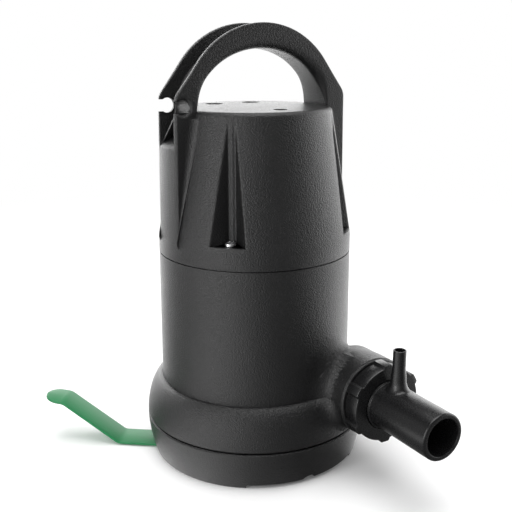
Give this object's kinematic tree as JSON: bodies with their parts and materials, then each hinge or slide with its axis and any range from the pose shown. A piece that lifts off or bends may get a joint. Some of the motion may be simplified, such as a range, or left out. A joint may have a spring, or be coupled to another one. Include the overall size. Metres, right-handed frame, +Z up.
{
  "type": "submersible aerator mixer pump",
  "caption": "Upright submersible pump with a carry handle, whose side outlet blows water through a venturi nozzle that draws air in at a nipple.",
  "frame": {"origin": "on the pump's axis, in the plane of the floor that the base cover's skirt stands on", "axes": "+Z up along the pump's axis; the outlet and its nozzle point along -Y; the handle spans along X"},
  "size_m": [0.241, 0.2651, 0.336],
  "materials": {
    "black_housing": "fine-grained black moulded plastic",
    "black_fitting": "smoother satin black moulded plastic",
    "green_strap": "emerald green satin coating on bent steel strip",
    "screw_steel": "bright stainless steel",
    "can_steel": "drawn stainless steel",
    "shaft_steel": "ground steel",
    "seal_rubber": "black nitrile rubber",
    "cast_alloy": "die-cast aluminium",
    "core_steel": "stacked electrical steel",
    "copper_wire": "enamelled copper",
    "brass_turned": "turned brass",
    "jet_plastic": "natural acetal",
    "seat_ceramic": "lapped ceramic"
  },
  "bodies": {
    "pump": {"top_housing": "black_housing", "carry_handle": "black_housing", "main_housing": "black_housing", "base_cover": "black_housing", "intake_strainer": "black_fitting", "cord_gland": "black_fitting", "gland_nut": "black_fitting", "stabiliser_strap": "green_strap", "cap_screws": "screw_steel", "base_screws": "screw_steel", "strap_screws": "screw_steel", "can_screws": "screw_steel", "gland_lock_nut": "screw_steel", "capacitor_clip": "screw_steel", "preload_washer": "screw_steel", "motor_can": "can_steel", "lower_outer_race": "shaft_steel", "upper_outer_race": "shaft_steel", "nozzle_gasket": "seal_rubber", "base_gasket": "seal_rubber", "plate_o_ring": "seal_rubber", "can_gasket": "seal_rubber", "seal_plate": "cast_alloy", "bearing_bracket": "cast_alloy", "run_capacitor": "cast_alloy", "stator_core": "core_steel", "stator_windings": "copper_wire", "lead_wires": "copper_wire", "thermal_cutout": "jet_plastic", "seal_seat": "seat_ceramic"},
    "rotor": {"rotor_core": "core_steel", "rotor_end_rings": "cast_alloy", "motor_shaft": "shaft_steel", "lower_inner_race": "shaft_steel", "lower_bearing_balls": "shaft_steel", "upper_inner_race": "shaft_steel", "upper_bearing_balls": "shaft_steel", "seal_head": "seal_rubber", "impeller": "black_fitting", "impeller_key": "screw_steel", "impeller_nut": "brass_turned"},
    "nut": {"union_nut": "black_fitting"},
    "nozzle": {"venturi_nozzle": "black_fitting", "venturi_jet": "jet_plastic"}
  },
  "joints": [
    {"name": "rotor_spin", "type": "hinge", "parent": "pump", "child": "rotor", "pos_m": [0, 0, 0.14], "axis": [0, 0, 1], "continuous": true},
    {"name": "nut_turn", "type": "hinge", "parent": "pump", "child": "nut", "pos_m": [0.048, -0.105, 0.0635], "axis": [0, -1, 0], "continuous": true},
    {"name": "nozzle_swivel", "type": "hinge", "parent": "pump", "child": "nozzle", "pos_m": [0.048, -0.11, 0.0635], "axis": [0, -1, 0], "continuous": true}
  ]
}
